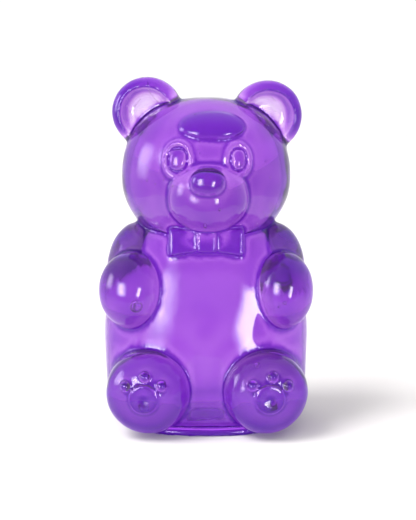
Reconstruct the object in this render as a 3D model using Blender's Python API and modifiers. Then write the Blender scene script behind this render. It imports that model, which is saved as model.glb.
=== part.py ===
"""A giant gummy bear: one solid of moulded gelatine that stands on its flat base.

Metres, +Z up. The face looks towards -Y and the bear's right ear is at -X. The origin is the middle of the base.
Every lobe of the bear is a closed shape of its own, and one Boolean union makes them a single solid.
"""

import math

import bmesh
import bpy
from mathutils import Euler, Matrix, Vector

# Driving dimensions
HEIGHT = 0.140
WIDTH = 0.0848
DEPTH = 0.070
FRONT = -DEPTH / 2
BACK = DEPTH / 2
LEFT, RIGHT = -1, 1
SIDES = (LEFT, RIGHT)

# Trunk: a turned barrel pressed to a rounded plan, standing on a thin oval base
TRUNK_RADIUS = 0.0414
TRUNK_DEPTH_RADIUS = 0.029
TRUNK_CENTRE_Y = BACK - TRUNK_DEPTH_RADIUS
TRUNK_WAIST_Z = 0.034
TRUNK_TOP_Z = 0.092
TRUNK_SHOULDER_POWER = 2.2
TRUNK_PLAN_POWER = 2.3
TRUNK_TAPER = 0.0010
TRUNK_EDGE_ROUND = 0.0105
BASE_HALF_WIDTH = 0.0335
BASE_HALF_DEPTH = 0.0240
BASE_CENTRE_Y = TRUNK_CENTRE_Y - 0.0038
BASE_HEIGHT = 0.0025
BASE_EDGE_ROUND = 0.0009

# Head: fuller above its widest line than below it
HEAD_CENTRE = Vector((0, 0.004, 0.0996))
HEAD_RADII = Vector((0.0338, 0.0280, 0.0322))
HEAD_LOW_RADIUS = 0.0290
HEAD_POWER = 2.3

# Ears: turned discs with a dish in the front face, the left one set a little higher
EAR_RADIUS = 0.0142
EAR_X = {LEFT: 0.0232, RIGHT: 0.0241}
EAR_Y = 0.0035
EAR_TOP_Z = {LEFT: HEIGHT, RIGHT: HEIGHT - 0.0014}
EAR_THICKNESS = 0.0100
EAR_RIM_ROUND = 0.0045
EAR_DISH_RADIUS = 0.0104
EAR_DISH_DEPTH = 0.0066
EAR_DISH_POWER = 5
EAR_TURN = math.radians(8)

# Face: a muzzle and a nose, pupils and beads raised in shallow sockets, and a forelock that juts over the brow
MUZZLE_RADII = Vector((0.0158, 0.0146, 0.0139))
MUZZLE_CENTRE = Vector((0.0008, FRONT + 0.0026 + MUZZLE_RADII.y, 0.0951))
MUZZLE_POWER = 2.2
NOSE_RADII = Vector((0.0066, 0.0046, 0.0051))
NOSE_CENTRE = Vector((0.0006, FRONT + NOSE_RADII.y, 0.1018))
NOSE_POWER = 2.4
EYE_X = {LEFT: 0.0109, RIGHT: 0.0124}
EYE_Z = 0.1096
EYE_SOCKET_DEPTH = 0.0013
EYE_PUPIL_RADII = {LEFT: (0.0033, 0.0039), RIGHT: (0.0027, 0.0037)}
EYE_PUPIL_DEPTH = 0.0017
EYE_PUPIL_POWER = 2.4
EYE_BEAD_RADII = {LEFT: (0.0055, 0.0068), RIGHT: (0.0048, 0.0061)}
EYE_BEAD_RADIUS = 0.0011
BROW_RADIUS = 0.030
FORELOCK_RADII = Vector((0.0127, 0.0036, 0.0070))
FORELOCK_CENTRE = Vector((0.0022, -0.0158, 0.1221))
FORELOCK_LEAN = math.radians(-50)
FORELOCK_POWER = 2.1

# Bow tie: two wings and a knot, under the chin
BOW_X = 0.0002
BOW_Z = 0.0778
BOW_HALF_WIDTH = 0.0146
BOW_WING_HALF_HEIGHT = 0.0056
BOW_WAIST_HALF_HEIGHT = 0.0040
BOW_WING_CURVE = 1.6
BOW_FRONT_Y = -0.0222
BOW_THICKNESS = 0.0110
BOW_EDGE_ROUND = 0.0014
BOW_LEAN = math.radians(-9)
KNOT_HALF = Vector((0.0039, 0.0055, 0.0040))
KNOT_STAND = 0.0013

# Arms: a shoulder and a hand on each side, the hands resting on the belly
SHOULDER_RADII = Vector((0.0133, 0.0150, 0.0205))
SHOULDER_CENTRE = Vector((0.0268, 0.0020, 0.0618))
HAND_RADII = {LEFT: Vector((0.0130, 0.0130, 0.0154)), RIGHT: Vector((0.0116, 0.0130, 0.0152))}
HAND_Y = -0.0130
HAND_Z = 0.0572

# Feet: turned domes that point forwards and a little outwards, each with a paw print
FOOT_RADIUS = 0.0166
FOOT_ROOT_X = {LEFT: 0.0212, RIGHT: 0.0219}
FOOT_ROOT_Y = -0.0060
FOOT_Z = 0.0183
FOOT_SPLAY = math.radians(6)
FOOT_LENGTH = 0.0275
FOOT_SIDE_LENGTH = 0.0150
FOOT_POWER = 2.4
PAD_RADIUS = 0.0059
PAD_SINK = 0.0005
PAD_RISE = 0.0012
PAD_EDGE_ROUND = 0.0010
DIMPLE_RADIUS = 0.0030
DIMPLE_DEPTH = 0.0006
TOE_RADIUS = 0.0021
TOE_DISTANCE = 0.0085
TOE_ANGLES = {LEFT: (37, 87, 147), RIGHT: (35, 82, 142)}

GEL_COLOUR = (0.30, 0.05, 0.62, 1)
MERGE = 0.00001


def clear_scene():
    for obj in list(bpy.data.objects):
        bpy.data.objects.remove(obj)


def new_collection(name, hidden):
    made = bpy.data.collections.new(name)
    bpy.context.scene.collection.children.link(made)
    made.hide_render = hidden
    return made


def gel_material():
    made = bpy.data.materials.new("grape_gel")
    made.use_nodes = True
    shader = made.node_tree.nodes["Principled BSDF"]
    shader.inputs["Base Color"].default_value = GEL_COLOUR
    shader.inputs["Roughness"].default_value = 0.08
    shader.inputs["Metallic"].default_value = 0.0
    shader.inputs["Transmission Weight"].default_value = 0.9
    return made


def add(name, bm, collection):
    """A new object from a bmesh, in its collection."""
    bmesh.ops.recalc_face_normals(bm, faces=bm.faces)
    mesh = bpy.data.meshes.new(name)
    bm.to_mesh(mesh)
    bm.free()
    obj = bpy.data.objects.new(name, mesh)
    collection.objects.link(obj)
    if collection.hide_render:
        obj.hide_render = True
        obj.display_type = "WIRE"
    return obj


def fullness(vertex, power):
    """Moves a vertex of the unit sphere onto a unit superellipsoid turned round Z."""
    x, y, z = vertex.co
    vertex.co *= (math.hypot(x, y) ** power + abs(z) ** power) ** (-1 / power)


def ellipsoid(name, centre, radii, collection, segments=24, rings=12, turn=(0, 0, 0), power=2.0):
    """A rounded lump: power 2 is an ellipsoid and more is boxier."""
    bm = bmesh.new()
    bmesh.ops.create_uvsphere(bm, u_segments=segments, v_segments=rings, radius=1)
    for vertex in bm.verts:
        fullness(vertex, power)
    bmesh.ops.scale(bm, vec=radii, verts=bm.verts)
    bmesh.ops.rotate(bm, matrix=Euler(turn).to_matrix(), verts=bm.verts)
    bmesh.ops.translate(bm, vec=centre, verts=bm.verts)
    return add(name, bm, collection)


def turned(name, profile, steps, place, collection):
    """A solid turned round Z from (radius, height) points, top to bottom, then placed by a matrix."""
    bm = bmesh.new()
    points = [bm.verts.new((radius, 0, height)) for radius, height in profile]
    for upper, lower in zip(points, points[1:]):
        bm.edges.new((upper, lower))
    mesh = bpy.data.meshes.new(name + "_profile")
    bm.to_mesh(mesh)
    bm.free()
    guide = bpy.data.objects.new(name + "_profile", mesh)
    bpy.context.scene.collection.objects.link(guide)
    screw = guide.modifiers.new("turn", "SCREW")
    screw.steps = screw.render_steps = steps
    screw.use_merge_vertices = True
    screw.merge_threshold = MERGE
    graph = bpy.context.evaluated_depsgraph_get()
    solid = bpy.data.meshes.new_from_object(guide.evaluated_get(graph))
    bpy.data.objects.remove(guide)
    bm = bmesh.new()
    bm.from_mesh(solid)
    bmesh.ops.transform(bm, matrix=place, verts=bm.verts)
    return add(name, bm, collection)


def arc(centre, radius, start, end, count):
    """Points of an arc in the profile's plane, from angle start to end."""
    angles = [math.radians(start + (end - start) * i / count) for i in range(count + 1)]
    return [(centre[0] + radius * math.cos(a), centre[1] + radius * math.sin(a)) for a in angles]


def power_arc(radius, length, power, count):
    """Points of a superellipse quarter, from (0, length) to (radius, 0)."""
    angles = [math.pi / 2 * i / count for i in range(count + 1)]
    return [
        (radius * math.sin(a) ** (2 / power), length * max(math.cos(a), 0) ** (2 / power))
        for a in angles
    ]


def trunk_profile():
    """The barrel from its top to the middle of its underside: shoulder, tapering side, round edge."""
    shoulder = [
        (radius, TRUNK_WAIST_Z + height)
        for radius, height in power_arc(TRUNK_RADIUS, TRUNK_TOP_Z - TRUNK_WAIST_Z, TRUNK_SHOULDER_POWER, 12)
    ]
    edge_centre = (TRUNK_RADIUS - TRUNK_TAPER - TRUNK_EDGE_ROUND, BASE_HEIGHT / 2 + TRUNK_EDGE_ROUND)
    edge = arc(edge_centre, TRUNK_EDGE_ROUND, 0, -90, 6)
    return shoulder + edge + [(0, edge[-1][1])]


def press_plan(obj, half_width, half_depth, centre_y):
    """Presses a turned solid to a depth, with a plan between an ellipse and a rectangle."""
    for vertex in obj.data.vertices:
        x, y = vertex.co.x, vertex.co.y
        across = math.hypot(x, y)
        if across > MERGE:
            cos, sin = abs(x) / across, abs(y) / across
            swell = (cos**TRUNK_PLAN_POWER + sin**TRUNK_PLAN_POWER) ** (-1 / TRUNK_PLAN_POWER)
            x, y = x * swell, y * swell
        vertex.co.x = x
        vertex.co.y = y * half_depth / half_width + centre_y


def make_trunk(collection):
    trunk = turned("trunk", trunk_profile(), 40, Matrix.Identity(4), collection)
    press_plan(trunk, TRUNK_RADIUS, TRUNK_DEPTH_RADIUS, TRUNK_CENTRE_Y)


def make_base(lobes):
    """The thin plate that the bear stands on, a little proud of the trunk's tucked edge."""
    edge_centre = (BASE_HALF_WIDTH - BASE_EDGE_ROUND, BASE_HEIGHT - BASE_EDGE_ROUND)
    edge = arc(edge_centre, BASE_EDGE_ROUND, 90, 0, 3)
    profile = [(0, BASE_HEIGHT)] + edge + [(BASE_HALF_WIDTH, 0), (0, 0)]
    base = turned("base", profile, 40, Matrix.Identity(4), lobes)
    press_plan(base, BASE_HALF_WIDTH, BASE_HALF_DEPTH, BASE_CENTRE_Y)


def make_head(collection):
    """The head, which also becomes the finished bear once its sockets are cut and the other lobes joined on."""
    head = ellipsoid("head", (0, 0, 0), (1, 1, 1), collection, 32, 18)
    for vertex in head.data.vertices:
        upper = vertex.co.z > 0
        if upper:
            fullness(vertex, HEAD_POWER)
        height = HEAD_RADII.z if upper else HEAD_LOW_RADIUS
        scale = Vector((HEAD_RADII.x, HEAD_RADII.y, height))
        vertex.co = HEAD_CENTRE + vertex.co * scale
    return head


def ear_profile():
    """Half a section of the disc, from the middle of the dish over the rim to the middle of the back."""
    half = EAR_THICKNESS / 2
    slope = EAR_RADIUS - EAR_RIM_ROUND
    dish = [
        (EAR_DISH_RADIUS * share, half - EAR_DISH_DEPTH * (1 - share**EAR_DISH_POWER))
        for share in (0, 0.25, 0.5, 0.7, 0.85, 1)
    ]
    rim = arc((slope, half - EAR_RIM_ROUND), EAR_RIM_ROUND, 75, 0, 4)
    back = arc((slope, EAR_RIM_ROUND - half), EAR_RIM_ROUND, 0, -90, 4)
    return dish + rim + back + [(0, -half)]


def make_ear(side, collection):
    centre = Vector((side * EAR_X[side], EAR_Y, EAR_TOP_Z[side] - EAR_RADIUS))
    place = (
        Matrix.Translation(centre)
        @ Matrix.Rotation(side * EAR_TURN, 4, "Z")
        @ Matrix.Rotation(math.radians(90), 4, "X")
    )
    turned(f"ear_{side}", ear_profile(), 28, place, collection)


def head_surface_y(x, z):
    """The front of the head at this x and z."""
    height = HEAD_RADII.z if z > HEAD_CENTRE.z else HEAD_LOW_RADIUS
    rise = abs(z - HEAD_CENTRE.z) / height
    level = (1 - rise**HEAD_POWER) ** (1 / HEAD_POWER) if z > HEAD_CENTRE.z else math.sqrt(1 - rise**2)
    return HEAD_CENTRE.y - HEAD_RADII.y * math.sqrt(level**2 - (x / HEAD_RADII.x) ** 2)


def head_frame(x, z):
    """A matrix whose origin is on the front of the head and whose -Y axis points straight out of it."""
    step = 0.0005
    y = head_surface_y(x, z)
    along_x = Vector((2 * step, head_surface_y(x + step, z) - head_surface_y(x - step, z), 0))
    along_z = Vector((0, head_surface_y(x, z + step) - head_surface_y(x, z - step), 2 * step))
    out = along_x.cross(along_z).normalized()
    turn = Vector((0, -1, 0)).rotation_difference(out).to_matrix().to_4x4()
    return Matrix.Translation((x, y, z)) @ turn


def make_eye(side, lobes, sockets):
    """A domed pupil inside a raised oval bead, both standing in a shallow socket."""
    place = head_frame(side * EYE_X[side], EYE_Z)
    across, up = EYE_BEAD_RADII[side]
    socket = ellipsoid(f"socket_{side}", (0, 0, 0), (across, EYE_SOCKET_DEPTH, up), sockets, 20, 10)
    socket.data.transform(place)
    bead = bmesh.new()
    rounds, corners = 24, 6
    rings = []
    for step in range(rounds):
        turn = 2 * math.pi * step / rounds
        ring = []
        for corner in range(corners):
            angle = 2 * math.pi * corner / corners
            reach = EYE_BEAD_RADIUS * math.cos(angle)
            x, z = (across + reach) * math.cos(turn), (up + reach) * math.sin(turn)
            y = EYE_BEAD_RADIUS * math.sin(angle) + (x * x + z * z) / (2 * BROW_RADIUS)
            ring.append(bead.verts.new((x, y, z)))
        rings.append(ring)
    for step in range(rounds):
        ring, following = rings[step], rings[(step + 1) % rounds]
        for corner in range(corners):
            beside = (corner + 1) % corners
            bead.faces.new((ring[corner], following[corner], following[beside], ring[beside]))
    bmesh.ops.transform(bead, matrix=place, verts=bead.verts)
    add(f"bead_{side}", bead, lobes)
    across, up = EYE_PUPIL_RADII[side]
    pupil = ellipsoid(
        f"pupil_{side}", (0, 0, 0), (across, EYE_PUPIL_DEPTH, up), lobes, 16, 8, power=EYE_PUPIL_POWER
    )
    pupil.data.transform(place)


def make_face(lobes, sockets):
    ellipsoid("muzzle", MUZZLE_CENTRE, MUZZLE_RADII, lobes, 28, 14, power=MUZZLE_POWER)
    ellipsoid("nose", NOSE_CENTRE, NOSE_RADII, lobes, 20, 10, power=NOSE_POWER)
    ellipsoid(
        "forelock", FORELOCK_CENTRE, FORELOCK_RADII, lobes, 24, 12, (FORELOCK_LEAN, 0, 0), FORELOCK_POWER
    )
    for side in SIDES:
        make_eye(side, lobes, sockets)


def bow_outline():
    """Half of the bow's outline, from the waist to the tip of one wing: (x, half height) pairs."""
    shares = (0, 0.3, 0.6, 0.85, 1)
    spread = BOW_WING_HALF_HEIGHT - BOW_WAIST_HALF_HEIGHT
    return [(BOW_HALF_WIDTH * s, BOW_WAIST_HALF_HEIGHT + spread * s**BOW_WING_CURVE) for s in shares]


def make_bow(lobes):
    """A flat bow with rounded edges that leans back against the chest, and its knot."""
    right = bow_outline()
    top = [(-x, h) for x, h in reversed(right[1:])] + right
    outline = top + [(x, -h) for x, h in reversed(top)]
    bm = bmesh.new()
    face = bm.faces.new([bm.verts.new((x, 0, z)) for x, z in outline])
    solid = bmesh.ops.extrude_face_region(bm, geom=[face])["geom"]
    moved = [v for v in solid if isinstance(v, bmesh.types.BMVert)]
    bmesh.ops.translate(bm, vec=(0, BOW_THICKNESS, 0), verts=moved)
    bmesh.ops.recalc_face_normals(bm, faces=bm.faces)
    rounded = [e for e in bm.edges if all(abs(v.co.y) < MERGE for v in e.verts)]
    bmesh.ops.bevel(bm, geom=rounded, offset=BOW_EDGE_ROUND, segments=2, affect="EDGES", profile=0.5)
    place = Matrix.Translation((BOW_X, BOW_FRONT_Y, BOW_Z)) @ Matrix.Rotation(BOW_LEAN, 4, "X")
    bmesh.ops.transform(bm, matrix=place, verts=bm.verts)
    add("bow", bm, lobes)
    bm = bmesh.new()
    bmesh.ops.create_cube(bm, size=2)
    bmesh.ops.scale(bm, vec=KNOT_HALF, verts=bm.verts)
    bmesh.ops.bevel(bm, geom=bm.edges[:], offset=BOW_EDGE_ROUND, segments=2, affect="EDGES", profile=0.5)
    bmesh.ops.translate(bm, vec=(0, KNOT_HALF.y - KNOT_STAND, 0), verts=bm.verts)
    bmesh.ops.transform(bm, matrix=place, verts=bm.verts)
    add("knot", bm, lobes)


def make_arm(side, lobes):
    shoulder = (side * SHOULDER_CENTRE.x, SHOULDER_CENTRE.y, SHOULDER_CENTRE.z)
    ellipsoid(f"shoulder_{side}", shoulder, SHOULDER_RADII, lobes, 24, 14)
    hand = (side * (WIDTH / 2 - HAND_RADII[side].x), HAND_Y, HAND_Z)
    ellipsoid(f"hand_{side}", hand, HAND_RADII[side], lobes, 24, 14)


def foot_profile():
    """A dome on a straight side, from the middle of the sole to the middle of the hidden root."""
    dome = [
        (radius, FOOT_SIDE_LENGTH + height)
        for radius, height in power_arc(FOOT_RADIUS, FOOT_LENGTH - FOOT_SIDE_LENGTH, FOOT_POWER, 10)
    ]
    return dome + [(FOOT_RADIUS, 0), (0, 0)]


def sole_height(radius):
    """How far the sole stands from the foot's root at this distance from its axis."""
    share = (1 - (radius / FOOT_RADIUS) ** FOOT_POWER) ** (1 / FOOT_POWER)
    return FOOT_SIDE_LENGTH + (FOOT_LENGTH - FOOT_SIDE_LENGTH) * share


def pad_profile():
    """A low round pad with a dimple in its middle, from the middle of its face to that of its back."""
    face = sole_height(0) - PAD_SINK + PAD_RISE
    dimple = [
        (DIMPLE_RADIUS * share, face - DIMPLE_DEPTH * (1 - share**2))
        for share in (0, 0.4, 0.75, 1)
    ]
    edge = arc((PAD_RADIUS - PAD_EDGE_ROUND, face - PAD_EDGE_ROUND), PAD_EDGE_ROUND, 90, 0, 3)
    back = sole_height(PAD_RADIUS) - PAD_RISE
    return dimple + edge + [(PAD_RADIUS, back), (0, back)]


def make_foot(side, lobes):
    """The foot's dome, with the round pad and the toes standing on its sole."""
    place = (
        Matrix.Translation((side * FOOT_ROOT_X[side], FOOT_ROOT_Y, FOOT_Z))
        @ Matrix.Rotation(side * FOOT_SPLAY, 4, "Z")
        @ Matrix.Rotation(math.radians(90), 4, "X")
    )
    turned(f"foot_{side}", foot_profile(), 28, place, lobes)
    turned(f"pad_{side}", pad_profile(), 20, place, lobes)
    for number, degrees in enumerate(TOE_ANGLES[side]):
        angle = math.radians(degrees)
        spot = (TOE_DISTANCE * math.cos(angle), TOE_DISTANCE * math.sin(angle), sole_height(TOE_DISTANCE))
        toe = ellipsoid(f"toe_{side}_{number}", spot, (TOE_RADIUS,) * 3, lobes, 12, 6)
        toe.data.transform(place)


def boolean(obj, operation, collection):
    modifier = obj.modifiers.new(operation.lower(), "BOOLEAN")
    modifier.operation = operation
    modifier.operand_type = "COLLECTION"
    modifier.collection = collection
    modifier.solver = "EXACT"


def main():
    clear_scene()
    model = new_collection("gummy_bear", False)
    lobes = new_collection("lobes", True)
    sockets = new_collection("sockets", True)
    bear = make_head(model)
    bear.name = "gummy_bear"
    bear.data.materials.append(gel_material())
    make_trunk(lobes)
    make_base(lobes)
    make_face(lobes, sockets)
    make_bow(lobes)
    for side in SIDES:
        make_ear(side, lobes)
        make_arm(side, lobes)
        make_foot(side, lobes)
    boolean(bear, "DIFFERENCE", sockets)
    boolean(bear, "UNION", lobes)


main()
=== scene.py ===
import math
import random

import bpy
import numpy as np
from mathutils import Matrix, Vector
from mathutils.bvhtree import BVHTree


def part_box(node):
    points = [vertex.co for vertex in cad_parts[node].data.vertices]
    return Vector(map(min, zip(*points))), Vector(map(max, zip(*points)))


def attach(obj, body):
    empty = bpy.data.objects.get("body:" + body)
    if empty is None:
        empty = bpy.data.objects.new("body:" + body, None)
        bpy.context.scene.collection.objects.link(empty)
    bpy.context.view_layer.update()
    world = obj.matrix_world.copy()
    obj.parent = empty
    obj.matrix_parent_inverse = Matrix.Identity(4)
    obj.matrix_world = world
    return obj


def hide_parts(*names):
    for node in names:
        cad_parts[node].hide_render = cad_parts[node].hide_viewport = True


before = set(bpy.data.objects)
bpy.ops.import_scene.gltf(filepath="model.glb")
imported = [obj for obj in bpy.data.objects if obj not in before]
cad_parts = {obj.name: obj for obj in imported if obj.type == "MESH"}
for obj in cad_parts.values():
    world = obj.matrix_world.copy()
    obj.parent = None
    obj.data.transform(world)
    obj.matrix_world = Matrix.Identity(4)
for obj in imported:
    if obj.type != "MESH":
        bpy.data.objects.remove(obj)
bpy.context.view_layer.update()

low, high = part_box("gummy_bear")
mm = (high[2] - low[2]) / 140


# The trunk and the base plate
# The barrel-shaped body is the thickest part of the gel casting. Its mould leaves an oval plan that is fuller
# than an ellipse, and the bear stands on a thin plate of gel that squeezed out at the mould's foot.
back = high[1]
trunk_radius = 41.4 * mm
trunk_half_depth = 29 * mm
trunk_middle = back - trunk_half_depth
waist_height = 34 * mm
trunk_top = 92 * mm
edge_round = 10.5 * mm
side_fullness = 2.2
plan_fullness = 2.3
plate_width, plate_depth, plate_height = 33.5 * mm, 24.0 * mm, 2.5 * mm
plate_edge = 1.1 * mm
plate_forward = 3.8 * mm


def deselect():
    bpy.ops.object.select_all(action="DESELECT")


def settle(piece):
    """Puts a piece's place into its mesh, so that its object lies at the origin."""
    deselect()
    piece.select_set(True)
    bpy.context.view_layer.objects.active = piece
    bpy.ops.object.transform_apply(location=True, rotation=True, scale=True)
    return piece


def turned(profile, around, place=(0, 0, 0), turn=(0, 0, 0)):
    """A round solid grown ring by ring along (radius, height) points, each ring extruded from the last."""
    deselect()
    bpy.ops.mesh.primitive_circle_add(
        vertices=around, radius=profile[0][0], fill_type="NGON", location=(0, 0, profile[0][1])
    )
    bpy.ops.object.mode_set(mode="EDIT")
    for (radius, height), (next_radius, next_height) in zip(profile, profile[1:]):
        bpy.ops.mesh.extrude_region_move(TRANSFORM_OT_translate={"value": (0, 0, next_height - height)})
        grow = next_radius / radius
        bpy.ops.transform.resize(value=(grow, grow, 1), center_override=(0, 0, next_height))
    bpy.ops.mesh.select_all(action="SELECT")
    bpy.ops.mesh.normals_make_consistent(inside=False)
    bpy.ops.object.mode_set(mode="OBJECT")
    solid = settle(bpy.context.object)
    solid.location = place
    solid.rotation_euler = turn
    return settle(solid)


def arc(centre, radius, start, end, count):
    """Points of an arc in a profile's plane, from one angle to another in degrees."""
    angles = [math.radians(start + (end - start) * i / count) for i in range(count + 1)]
    return [(centre[0] + radius * math.cos(a), centre[1] + radius * math.sin(a)) for a in angles]


def dome(radius, length, power, count):
    """Points of a superellipse quarter, from near the axis at the top out to the full radius."""
    angles = [math.pi / 2 * (i + 0.25) / (count + 0.25) for i in range(count + 1)]
    return [
        (radius * math.sin(a) ** (2 / power), length * max(math.cos(a), 0) ** (2 / power))
        for a in angles
    ]


def press_plan(solid, half_width, half_depth, middle):
    """Presses a round solid to its depth and fills out the corners of its plan."""
    for vertex in solid.data.vertices:
        x, y, z = vertex.co
        across = math.hypot(x, y)
        if across > 0:
            filled = abs(x / across) ** plan_fullness + abs(y / across) ** plan_fullness
            fill = filled ** (-1 / plan_fullness)
            vertex.co = (x * fill, y * fill * half_depth / half_width + middle, z)


edge_place = (trunk_radius - mm - edge_round, plate_height / 2 + edge_round)
above_waist = dome(trunk_radius, trunk_top - waist_height, side_fullness, 64)
barrel = [(radius, waist_height + height) for radius, height in above_waist]
barrel += arc(edge_place, edge_round, 0, -90, 24) + [(mm, plate_height / 2)]
trunk = turned(barrel, around=256)
press_plan(trunk, trunk_radius, trunk_half_depth, trunk_middle)

plate_rim = arc((plate_width - plate_edge, plate_height - plate_edge), plate_edge, 90, 0, 4)
plate = turned([(mm, plate_height)] + plate_rim + [(plate_width, 0), (mm, 0)], around=128)
press_plan(plate, plate_width, plate_depth, trunk_middle - plate_forward)
lobes = [trunk, plate]


# The head
# A big round lobe of the same gel that is fuller above its widest line than below it. It sinks into the trunk
# at the neck.
head_place = Vector((0, 4 * mm, 99.6 * mm))
head_radii = Vector((33.8, 28.0, 32.2)) * mm
head_under = 29 / 32.2


def ball(place, radii, turn=(0, 0, 0), fullness=2.0, low_fullness=None, around=96, under=1.0):
    """A rounded lump: fullness 2 is an ellipsoid and more is boxier; under shortens the lower half."""
    deselect()
    bpy.ops.mesh.primitive_uv_sphere_add(segments=around, ring_count=around // 2, radius=1)
    lump = bpy.context.object
    for vertex in lump.data.vertices:
        power = low_fullness or fullness if vertex.co.z < 0 else fullness
        x, y, z = vertex.co
        vertex.co *= (math.hypot(x, y) ** power + abs(z) ** power) ** (-1 / power)
        if z < 0:
            vertex.co.z *= under
    lump.scale = radii
    lump.rotation_euler = turn
    lump.location = place
    return settle(lump)


head = ball(head_place, head_radii, fullness=2.3, low_fullness=2.0, around=256, under=head_under)
lobes.append(head)


# The ears
# Two thick round discs of gel with a dish in the front face, cast into the head's top corners. The left one
# sits a little higher.
ear_radius = 14.2 * mm
ear_half = 5.0 * mm
ear_rim = 4.5 * mm
dish_radius = 10.4 * mm
dish_depth = 6.6 * mm
dish_power = 5
ear_turn = math.radians(8)
tip = 0.1 * mm
for side, across, top in ((-1, 23.2 * mm, 140 * mm), (1, 24.1 * mm, 138.6 * mm)):
    dish = [
        (max(dish_radius * share, tip), ear_half - dish_depth * (1 - share**dish_power))
        for share in (0, 0.12, 0.25, 0.4, 0.55, 0.7, 0.8, 0.9, 1)
    ]
    rim = arc((ear_radius - ear_rim, ear_half - ear_rim), ear_rim, 78, 0, 10)
    rear = arc((ear_radius - ear_rim, ear_rim - ear_half), ear_rim, 0, -90, 10)
    ear = turned(
        dish + rim + rear + [(tip, -ear_half)],
        96,
        (side * across, 3.5 * mm, top - ear_radius),
        (math.radians(90), 0, side * ear_turn),
    )
    lobes.append(ear)


# The forelock
# A flat tuft of fur swept over the brow, moulded in the gel, whose lower edge stands proud of the forehead.
# It is painted darker than the head, as painted shade: a table holds, lobe by lobe, how many millimetres of
# extra tint are painted on top.
lock_place = Vector((2.2, -15.8, 122.1)) * mm
lock_radii = Vector((12.7, 3.6, 7.0)) * mm
lock_lean = (math.radians(-50), 0, 0)
lobes.append(ball(lock_place, lock_radii, lock_lean, fullness=2.1, around=192))
painted_lobe_shade = {lobes[-1]: 11}


# The muzzle and nose
# One broad round lobe of gel with a smaller oval nose on its upper part. The nose is the foremost point of
# the face.
front = low[1]
muzzle_radii = Vector((15.8, 14.6, 13.9)) * mm
muzzle_place = Vector((0.8 * mm, front + 2.6 * mm + muzzle_radii.y, 95.1 * mm))
nose_radii = Vector((6.6, 4.6, 5.1)) * mm
nose_place = Vector((0.6 * mm, front + 0.05 * mm + nose_radii.y, 101.8 * mm))
lobes.append(ball(muzzle_place, muzzle_radii, fullness=2.3, low_fullness=2.1, around=192))
lobes.append(ball(nose_place, nose_radii, fullness=2.4, around=128))
# Painted shade: the nose is painted a little darker than the muzzle
painted_lobe_shade[lobes[-1]] = 3


# The eyes
# Each is a raised oval bead of gel round a shallow socket with a domed pupil in it. The muzzle covers the
# lower inner part of the beads, and the right eye came out a little narrower than the left.
eye_height = 109.6 * mm
bead_thickness = 1.1 * mm
brow_radius = 30 * mm
socket_depth = 1.3 * mm
pupil_depth, pupil_stand = 1.7 * mm, 0.1 * mm
sockets = []
for across, pupil, bead in (
    (-10.9 * mm, (3.3 * mm, 3.9 * mm), (5.5 * mm, 6.8 * mm)),
    (12.4 * mm, (2.7 * mm, 3.7 * mm), (4.8 * mm, 6.1 * mm)),
):
    _, spot, out, _ = head.ray_cast(Vector((across, front, eye_height)), Vector((0, 1, 0)))
    turn = Vector((0, -1, 0)).rotation_difference(out).to_euler()
    sockets.append(ball(spot, (bead[0], socket_depth, bead[1]), turn, around=64))
    pupil_radii = (pupil[0], pupil_depth, pupil[1])
    lobes.append(ball(spot + out * pupil_stand, pupil_radii, turn, fullness=2.4))
    deselect()
    bpy.ops.mesh.primitive_torus_add(
        major_segments=96, minor_segments=20, major_radius=1, minor_radius=bead_thickness / bead[0]
    )
    ring = bpy.context.object
    ring.rotation_euler = (math.radians(90), 0, 0)
    settle(ring)
    for vertex in ring.data.vertices:
        x, y, z = vertex.co.x * bead[0], vertex.co.y * bead[0], vertex.co.z * bead[1]
        vertex.co = (x, y + (x * x + z * z) / (2 * brow_radius), z)
    ring.rotation_euler = turn
    ring.location = spot
    lobes.append(settle(ring))
for socket in sockets:
    deselect()
    head.select_set(True)
    bpy.context.view_layer.objects.active = head
    hollow = head.modifiers.new("socket", "BOOLEAN")
    hollow.operation = "DIFFERENCE"
    hollow.object = socket
    bpy.ops.object.modifier_apply(modifier=hollow.name)
    bpy.data.objects.remove(socket)


# The bow tie
# Two flat wings that widen outwards and a rounded knot between them, all of the one gel. The tie leans back
# against the chest and sinks into it.
bow_place = Vector((0.2, -22.2, 77.8)) * mm
bow_lean = math.radians(-9)
bow_thickness = 11 * mm
wing_width, wing_half_height, waist_half_height = 14.6 * mm, 5.6 * mm, 4.0 * mm
wing_edge, wing_flare = 1.6 * mm, 1.6
knot_half_width, knot_half_height = 3.9 * mm, 4.0 * mm
knot_edge, knot_stand = 1.2 * mm, 1.3 * mm


def slab(widths, thickness, rounding, place, turn):
    """A flat slab whose (x, half height) outline grows section by section, with rounded edges."""
    deselect()
    first_x, first_height = widths[0]
    bpy.ops.mesh.primitive_plane_add(size=1, location=(first_x, 0, 0), rotation=(0, math.radians(90), 0))
    bpy.ops.object.transform_apply(location=False, rotation=True, scale=False)
    bpy.ops.object.mode_set(mode="EDIT")
    bpy.ops.transform.resize(value=(1, thickness, 2 * first_height), center_override=(first_x, 0, 0))
    for (x, height), (next_x, next_height) in zip(widths, widths[1:]):
        bpy.ops.mesh.extrude_region_move(TRANSFORM_OT_translate={"value": (next_x - x, 0, 0)})
        bpy.ops.transform.resize(value=(1, 1, next_height / height), center_override=(next_x, 0, 0))
    bpy.ops.mesh.select_all(action="SELECT")
    bpy.ops.mesh.normals_make_consistent(inside=False)
    bpy.ops.object.mode_set(mode="OBJECT")
    block = settle(bpy.context.object)
    soften = block.modifiers.new("rounded_edges", "BEVEL")
    soften.width = rounding
    soften.segments = 4
    soften.limit_method = "ANGLE"
    soften.angle_limit = math.radians(40)
    bpy.ops.object.modifier_apply(modifier=soften.name)
    block.location = place
    block.rotation_euler = turn
    return settle(block)


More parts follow.
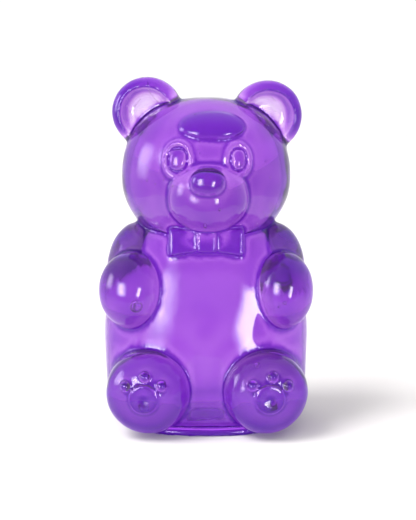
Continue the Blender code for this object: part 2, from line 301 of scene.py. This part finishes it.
shares = [i / 10 for i in range(-10, 11)]
flare = wing_half_height - waist_half_height
wing_outline = [(wing_width * s, waist_half_height + flare * abs(s) ** wing_flare) for s in shares]
bow_turn = (bow_lean, 0, 0)
bow_place += Matrix.Rotation(bow_lean, 3, "X") @ Vector((0, bow_thickness / 2, 0))
lobes.append(slab(wing_outline, bow_thickness, wing_edge, bow_place, bow_turn))
knot_outline = [(-knot_half_width, knot_half_height), (knot_half_width, knot_half_height)]
knot_place = bow_place - Vector((0, knot_stand, 0))
lobes.append(slab(knot_outline, bow_thickness, knot_edge, knot_place, bow_turn))
# Painted shade: the bow tie is painted darker than the chest
painted_lobe_shade[lobes[-1]] = painted_lobe_shade[lobes[-2]] = 6


# The arms
# A rounded shoulder of gel on each side runs into a fat hand that rests on the belly. The right hand came out
# a little narrower than the left.
shoulder_radii = Vector((13.3, 15.0, 20.5)) * mm
hand_depth, hand_height = 13 * mm, 15.3 * mm
for side, hand_width in ((-1, 13.0 * mm), (1, 11.6 * mm)):
    lobes.append(ball((side * 26.8 * mm, 2 * mm, 61.8 * mm), shoulder_radii, around=192))
    hand_place = (side * (high[0] - hand_width), -13 * mm, 57.2 * mm)
    lobes.append(ball(hand_place, (hand_width, hand_depth, hand_height), around=192))


# The feet
# Fat round domes of gel that point forwards and a little outwards. Each sole carries a round pad with
# a dimple, and three toe buttons above it.
foot_radius = 16.6 * mm
foot_length = 27.5 * mm
foot_side = 15 * mm
foot_power = 2.4
foot_turn = math.radians(6)
pad_radius, pad_edge_round, pad_stand, pad_root = 5.9 * mm, 1.0 * mm, 0.7 * mm, 4 * mm
dimple_radius, dimple_depth = 3.0 * mm, 0.6 * mm
toe_reach, toe_radius = 8.5 * mm, 2.1 * mm


def sole(radius):
    """How far the sole stands from the foot's root at this distance from its axis."""
    share = (1 - (radius / foot_radius) ** foot_power) ** (1 / foot_power)
    return foot_side + (foot_length - foot_side) * share


for side, across, toes in ((-1, 21.2 * mm, (37, 87, 147)), (1, 21.9 * mm, (35, 82, 142))):
    place = Vector((side * across, -6 * mm, 18.3 * mm))
    turn = (math.radians(90), 0, side * foot_turn)
    past_side = dome(foot_radius, foot_length - foot_side, foot_power, 40)
    outline = [(radius, foot_side + length) for radius, length in past_side]
    lobes.append(turned(outline + [(foot_radius, 0), (mm, 0)], 192, place, turn))
    # Painted shade: each foot is painted a touch darker
    painted_lobe_shade[lobes[-1]] = 1.5
    pad_face = sole(0) + pad_stand
    steps = (0.05, 0.3, 0.55, 0.8, 1)
    dimple = [(dimple_radius * s, pad_face - dimple_depth * (1 - s * s)) for s in steps]
    pad_edge = arc((pad_radius - pad_edge_round, pad_face - pad_edge_round), pad_edge_round, 90, 0, 5)
    pad_foot = [(pad_radius, pad_face - pad_root), (mm, pad_face - pad_root)]
    lobes.append(turned(dimple + pad_edge + pad_foot, 64, place, turn))
    # Painted shade: each pad is painted darker than its foot
    painted_lobe_shade[lobes[-1]] = 5
    stand = Matrix.Rotation(turn[2], 3, "Z") @ Matrix.Rotation(turn[0], 3, "X")
    for degrees in toes:
        angle = math.radians(degrees)
        spot = Vector((toe_reach * math.cos(angle), toe_reach * math.sin(angle), sole(toe_reach)))
        lobes.append(ball(place + stand @ spot, (toe_radius,) * 3, around=32))


# The casting
# All of it sets as one clear violet gelatine gel. The lobes become one skin whose creases are softly rounded,
# with the slight unevenness of a soft mould, and the air bubbles and small cracks that the gel caught.
grid = 0.5 * mm
skin_faces = 92000
wave_size, wave_height = 11 * mm, 0.4 * mm
deselect()
for lobe in lobes:
    lobe.select_set(True)
    # Each lobe's painted shade, in millimetres of extra tint, goes with its faces
    lobe_shade = lobe.data.attributes.new("lobe_shade", "FLOAT", "FACE").data
    lobe_shade.foreach_set("value", [painted_lobe_shade.get(lobe, 0)] * len(lobe_shade))
bpy.context.view_layer.objects.active = trunk
bpy.ops.object.join()
bear = bpy.context.object
bear.name = bear.data.name = "gummy_bear_gel"
bpy.ops.object.duplicate()
pattern = bpy.context.object
deselect()
bear.select_set(True)
bpy.context.view_layer.objects.active = bear


def finish_with(kind, **settings):
    """Adds one modifier to the bear and applies it."""
    step = bear.modifiers.new(kind.lower(), kind)
    for setting, value in settings.items():
        setattr(step, setting, value)
    bpy.ops.object.modifier_apply(modifier=step.name)


finish_with("REMESH", mode="VOXEL", voxel_size=grid)
finish_with("DECIMATE", ratio=min(1, skin_faces / len(bear.data.polygons)))
finish_with("SHRINKWRAP", target=pattern, wrap_method="NEAREST_SURFACEPOINT")
moulds = BVHTree.FromObject(pattern, bpy.context.evaluated_depsgraph_get())
lobe_shade = pattern.data.attributes["lobe_shade"].data
lobe_shade = np.array([[lobe_shade[moulds.find_nearest(vertex.co)[2]].value] for vertex in bear.data.vertices])
bpy.data.objects.remove(pattern)
waves = bpy.data.textures.new("mould_waves", "CLOUDS")
waves.noise_scale = wave_size
waves.noise_depth = 2
finish_with("DISPLACE", texture=waves, texture_coords="LOCAL", strength=wave_height, mid_level=0.5)

skin = bear.data
count = len(skin.vertices)
links = np.empty(2 * len(skin.edges), dtype=np.int32)
skin.edges.foreach_get("vertices", links)
ends = np.concatenate((links[0::2], links[1::2]))
order = np.argsort(ends, kind="stable")
neighbours = np.concatenate((links[1::2], links[0::2]))[order]
starts = np.searchsorted(ends[order], np.arange(count))
shared = np.bincount(ends, minlength=count)[:, None]


def averaged(values, rounds):
    """Every vertex's values, mixed half and half with its neighbours' mean once in each round."""
    for _ in range(rounds):
        values = (values + np.add.reduceat(values[neighbours], starts) / shared) / 2
    return values


def taken(name, domain=skin.vertices):
    """The three numbers of one vertex property, as rows."""
    values = np.empty(3 * count)
    domain.foreach_get(name, values)
    return values.reshape(-1, 3)


def bulge(reach):
    """How far each vertex stands out of its surroundings; hollows and creases count below nothing."""
    here = taken("co")
    return np.sum((here - averaged(here, reach)) * taken("normal"), axis=1)[:, None]


# Two rounds soften the whole skin, and thirty more only where it is plain, so that the creases stay crisp
spots = averaged(taken("co"), 2)
skin.vertices.foreach_set("co", spots.ravel())
skin.update()
plain = averaged(np.exp(-((bulge(6) / (0.05 * mm)) ** 2)), 4)
for _ in range(30):
    spots += plain * (averaged(spots, 1) - spots)
skin.vertices.foreach_set("co", spots.ravel())
skin.update()


# How much the skin is tinted, in millimetres of gel: least where the casting is thin and more where it is
# thick, as the gel's own depth gives, and on top of that painted shade, darker where a form stands proud, in
# the hollows of the thick body, on the ear rims, towards the floor and most along the creases between two
# forms, with a painted highlight, a paler line, beside the creases
least_seen, most_seen = 1.2, 19
far = 90 * mm
faces = BVHTree.FromObject(bear, bpy.context.evaluated_depsgraph_get())
depths = np.zeros((count, 1))
slants = [Vector((0, 0, 0))] + [Vector((math.cos(a), math.sin(a), 0)) for a in (0.5, 2.6, 4.7)]
for vertex in skin.vertices:
    inwards = -vertex.normal
    facing = inwards.to_track_quat("Z", "Y")
    start = vertex.co + inwards * 0.2 * mm
    for slant in slants:
        hit = faces.ray_cast(start, (inwards + facing @ slant).normalized(), far)[3]
        depths[vertex.index] += (far if hit is None else hit) / len(slants)
thick = averaged(1 - np.exp(-depths / (15 * mm)), 8)
proud = averaged(bulge(150), 4) / mm
# A mask of the concave creases, where painted shade darkens the gel
crease_shade_mask = averaged(np.clip(-bulge(7) / (0.09 * mm) - 0.1, 0, 1), 1)
# Painted shade: a mask that darkens the gel towards the floor, over the lowest 15 mm or so
floor_shade_mask = np.exp(-((taken("co")[:, 2:] / (15 * mm)) ** 2))
broad_form = averaged(np.clip(depths / mm - 50, 0, 30) / 30, 60)
# The gel's thickness tint, plus the painted shade that each lobe carries
gel_seen = 1.0 + 5 * thick + 6 * broad_form + averaged(lobe_shade, 6)
# Painted shade, darkening the forms that stand proud: the nose, the hands and the soles
gel_seen += 15 * np.clip(proud - 0.5, 0, 1.2)  # the nose, the hands and the soles
# Painted shade, darkening the gel in the hollows of the thick body
gel_seen += 7 * thick**3 * np.clip(0.35 - proud, 0, 0.8)  # the hollows of the thick body
# Painted shade, darkening the rims of the ears
gel_seen += 20 * (1 - thick) * np.clip(proud - 0.3, 0, 0.7)  # the rims of the ears
# Painted shade along the creases between forms, and painted shade towards the floor at the bottom of the bear
gel_seen += 17 * crease_shade_mask * thick**2 + 3.5 * floor_shade_mask  # the creases, and the foot of the bear
# A painted highlight: a paler line beside each crease, standing in for the reflections that the fillets catch
crease_highlight_mask = np.clip(6 * averaged(crease_shade_mask, 12) - 6 * crease_shade_mask, 0, 1)
gel_seen = np.clip(gel_seen - 6 * crease_highlight_mask * thick, least_seen, most_seen)
# The gel's thickness tint, the painted shade and the painted highlight lines go onto the skin as one value
tint_and_painted_light_values = skin.attributes.new("gel_seen", "FLOAT", "POINT").data
tint_and_painted_light_values.foreach_set("value", gel_seen.ravel() / most_seen)

# Air bubbles, as places and radii in millimetres: a few that show well, and a scatter of specks in the front
# of the head and chest. Their walls face into the air, so that the gel lies outside of them.
caught = [
    ((-27.4, -20, 52.7), 2.3), ((-21.5, -14, 75.0), 0.7), ((-10.8, -20, 66.5), 0.4),
    ((30.6, -21, 54.3), 0.8), ((28.6, -20, 52.6), 0.5), ((30.0, -21, 57.4), 0.4),
    ((19.9, -26, 29.5), 1.1), ((25.9, -29, 16.2), 1.4), ((-28.4, -29, 20.4), 0.5),
]
speck_count = 34
least_gel = 0.4
random.seed(11)
for _ in range(speck_count):
    turn, reach, height = random.uniform(-1.3, 1.3), random.uniform(13, 24), random.gauss(98, 13)
    spread = (24 if height < 88 else 0.9 * math.sqrt(max(30**2 - (height - 99) ** 2, 30))) / 26
    place = (reach * math.sin(turn) * spread, 4 - reach * math.cos(turn) * spread, height)
    caught.append((place, random.uniform(0.22, 0.5)))

# Fine cracks in the thin webs of the ears, each a sliver of air from one point to the next in millimetres
crack_width, crack_depth = 0.14 * mm, 0.3 * mm
cracks = [
    ((-23.0, 3.5, 137.3), (-21.9, 4.5, 133.2)), ((-21.9, 4.5, 133.2), (-18.6, 5.5, 129.6)),
    ((-32.2, 6.0, 129.0), (-30.6, 6.5, 125.6)), ((-30.6, 6.5, 125.6), (-26.0, 6.5, 131.0)),
    ((24.6, 5.5, 134.0), (27.6, 6.0, 130.3)),
]


def hold(pocket):
    """Turns a small shape into a pocket of air and joins it to the bear."""
    pocket.data.flip_normals()
    pocket.select_set(True)
    bear.select_set(True)
    bpy.context.view_layer.objects.active = bear
    bpy.ops.object.join()


for start, end in cracks:
    along = (Vector(end) - Vector(start)) * mm
    middle = (Vector(end) + Vector(start)) / 2 * mm
    sliver_radii = (crack_width, crack_depth, 0.52 * along.length)
    hold(ball(middle, sliver_radii, along.to_track_quat("Z", "Y").to_euler(), around=12))
for place, radius in caught:
    place = Vector(place) * mm
    nearest, outwards, _, gap = faces.find_nearest(place)
    if (place - nearest).dot(outwards) > 0 or gap < (radius + least_gel) * mm:
        continue
    deselect()
    roundness = 4 if radius > 1 else 2
    bpy.ops.mesh.primitive_ico_sphere_add(subdivisions=roundness, radius=radius * mm, location=place)
    hold(settle(bpy.context.object))


class Wire:
    """A shader socket that Python can do sums on; each sum adds its Math node."""

    def __init__(self, tree, socket=None):
        self.tree = tree
        self.socket = socket

    def node(self, kind, settings, inputs, output=0):
        """A new node of this kind: its settings are set first, then each input's value or link."""
        node = self.tree.nodes.new("ShaderNode" + kind)
        for name, value in settings.items():
            if name == "stops":
                stops = node.color_ramp.elements
                stops.remove(stops[-1])
                stops[0].position, stops[0].color = value[0]
                for share, colour in value[1:]:
                    stops.new(share).color = colour
            else:
                setattr(node, name, value)
        for name, value in inputs.items():
            if isinstance(value, Wire):
                value.into(node.inputs[name])
            else:
                node.inputs[name].default_value = value
        return Wire(self.tree, node.outputs[output])

    def into(self, socket):
        """Links this socket to one of a node that is there already."""
        self.tree.links.new(self.socket, socket)

    def maths(self, operation, first, second):
        return self.node("Math", {"operation": operation}, {0: first, 1: second})

    def __add__(self, other):
        return self.maths("ADD", self, other)

    def __radd__(self, other):
        return self.maths("ADD", other, self)

    def __mul__(self, other):
        return self.maths("MULTIPLY", self, other)

    def __rmul__(self, other):
        return self.maths("MULTIPLY", other, self)

    def __sub__(self, other):
        return self.maths("SUBTRACT", self, other)

    def __rsub__(self, other):
        return self.maths("SUBTRACT", other, self)


# The skin is tinted by the gel behind it and carries the painted shade and painted highlight lines in the
# same colour, and the gel inside takes a little more light along the light's way
tint_per_mm = (0.114, 0.243, 0.045)
tint_and_painted_light_stops = (0, 0.1, 0.2, 0.3, 0.45, 0.7, 1)
tint_and_painted_light_colours = [[math.exp(-tint * share * most_seen) for tint in tint_per_mm] + [1] for share in tint_and_painted_light_stops]
mottle_scale, most_rough = 90, 0.05
gel = bpy.data.materials.new("grape_gel")
gel.use_nodes = True
nodes = gel.node_tree.nodes
shader = nodes["Principled BSDF"]
wires = Wire(gel.node_tree)
tint_and_painted_light_share = wires.node("Attribute", {"attribute_name": "gel_seen"}, {}, "Fac")
# The colour ramp paints the gel's thickness tint together with the painted shade and the painted highlight
# lines
tint = wires.node("ValToRGB", {"stops": list(zip(tint_and_painted_light_stops, tint_and_painted_light_colours))}, {"Fac": tint_and_painted_light_share}, "Color")
tint.into(shader.inputs["Base Color"])
spot = wires.node("TexCoord", {}, {}, "Object")
mottle = wires.node("TexNoise", {}, {"Vector": spot, "Scale": mottle_scale}, "Fac")
(mottle * most_rough).into(shader.inputs["Roughness"])
shader.inputs["IOR"].default_value = 1.42
shader.inputs["Transmission Weight"].default_value = 0.93
inner = wires.node("VolumeAbsorption", {}, {"Color": (0.58, 0.0, 0.77, 1), "Density": 20})
inner.into(nodes["Material Output"].inputs["Volume"])
bear.data.materials.clear()
bear.data.materials.append(gel)
deselect()
bear.select_set(True)
bpy.ops.object.shade_smooth()
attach(bear, "root")
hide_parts("gummy_bear")


# The table, the light and the camera
# A wide white table in a white room that is brightest behind the bear. A broad soft lamp from the left throws
# the shadow to the right, three soft boxes give the sheen, and two wide panels glow through the gel.
scene = bpy.context.scene
scene.view_settings.view_transform = "Standard"
table_width, table_length, table_middle = 0.5, 2, 0.86
under_bear = -0.1 * mm
deselect()
bpy.ops.mesh.primitive_plane_add(size=1, location=(0, table_middle, under_bear))
bpy.context.object.scale = (table_width, table_length, 1)
table = settle(bpy.context.object)
table.name = "white_table"
paper = bpy.data.materials.new("white_paper")
paper.use_nodes = True
sheet = paper.node_tree.nodes["Principled BSDF"]
sheet.inputs["Base Color"].default_value = (0.44, 0.428, 0.425, 1)
sheet.inputs["Roughness"].default_value = 1.0
sheet.inputs["Specular IOR Level"].default_value = 0.0
table.data.materials.append(paper)


def fade(wires, value, start, stop):
    """0 up to start and 1 from stop on, with a smooth step between them."""
    settings = {"interpolation_type": "SMOOTHSTEP"}
    inputs = {"Value": value, "From Min": start, "From Max": stop}
    return wires.node("MapRange", settings, inputs, "Result")


room_front, room_back = 0.48, 1.05
world = bpy.data.worlds.new("white_room")
world.use_nodes = True
air = world.node_tree.nodes["Background"]
air.inputs["Color"].default_value = (1, 1, 1, 1)
wires = Wire(world.node_tree)
direction = wires.node("TexCoord", {}, {}, "Generated")
backwards = wires.node("SeparateXYZ", {}, {0: direction}, "Y")
level = fade(wires, backwards, -0.6, 0.4) * (room_back - room_front) + room_front
level.into(air.inputs["Strength"])
scene.world = world


def aimed(data, azimuth, elevation, distance):
    """Hangs a lamp facing the bear; azimuth 0 is in front of it and grows towards +X."""
    light = bpy.data.objects.new(data.name, data)
    a, e = math.radians(azimuth), math.radians(elevation)
    out = Vector((math.sin(a) * math.cos(e), -math.cos(a) * math.cos(e), math.sin(e)))
    light.location = Vector((0, 0, 70 * mm)) + out * distance
    light.rotation_euler = out.to_track_quat("Z", "Y").to_euler()
    scene.collection.objects.link(light)
    return light


def soft_box(name, azimuth, elevation, distance, width, height, brightness, edges, roll=0):
    """A soft box whose cloth is brightest inside and fades over its (left, right, ends) edge shares."""
    data = bpy.data.lights.new(name, "AREA")
    data.shape = "RECTANGLE"
    data.size = width
    data.size_y = height
    data.energy = brightness * math.pi * width * height
    data.use_nodes = True
    left, right, ends = edges
    wires = Wire(data.node_tree)
    spot = wires.node("NewGeometry", {}, {}, "Parametric")
    across = wires.node("SeparateXYZ", {}, {0: spot}, "X")
    along = wires.node("SeparateXYZ", {}, {0: spot}, "Y")
    glow = fade(wires, across, 0, left) * (1 - fade(wires, across, 1 - right, 1))
    glow = glow * fade(wires, along, 0, ends) * (1 - fade(wires, along, 1 - ends, 1))
    glow.into(data.node_tree.nodes["Emission"].inputs["Strength"])
    box = aimed(data, azimuth, elevation, distance)
    box.visible_transmission = False
    box.rotation_euler.rotate_axis("Z", math.radians(roll))


broad = bpy.data.lights.new("broad_left", "SUN")
broad.energy = 5.2
broad.angle = math.radians(35)
broad_lamp = aimed(broad, -60, 50, 2)
broad_lamp.visible_glossy = False
broad_lamp.visible_transmission = False
panels = (("front_wall", 15, (10, 4), 0.8), ("ceiling", 90, (8, 4.5), 1.0))
for name, elevation, size, glow in panels:
    panel = bpy.data.lights.new(name, "AREA")
    panel.shape = "RECTANGLE"
    panel.size, panel.size_y = size
    panel.energy = glow * math.pi * size[0] * size[1]
    aimed(panel, 0, elevation, 2.5).visible_glossy = False
soft_box("box_left", -35, 6, 0.8, 0.62, 0.60, 22, (0.5, 0.5, 0.35))
soft_box("box_side", -85, 14, 0.9, 0.55, 0.60, 8, (0.4, 0.4, 0.4))
soft_box("box_right", 25, -1, 0.8, 0.25, 0.46, 24, (0.7, 0.05, 0.25), -20)

lens_height = math.radians(10)
eye = bpy.data.cameras.new("camera")
eye.lens = 103.5
eye.sensor_width = 36
eye.clip_start = 0.01
eye.shift_x = 2 / 520
camera = bpy.data.objects.new("camera", eye)
aim = Vector((0, 0.2 * mm, 66.9 * mm))
outwards = Vector((0, -math.cos(lens_height), math.sin(lens_height)))
camera.location = aim + outwards * 600 * mm
camera.rotation_euler = outwards.to_track_quat("Z", "Y").to_euler()
scene.collection.objects.link(camera)
scene.camera = camera
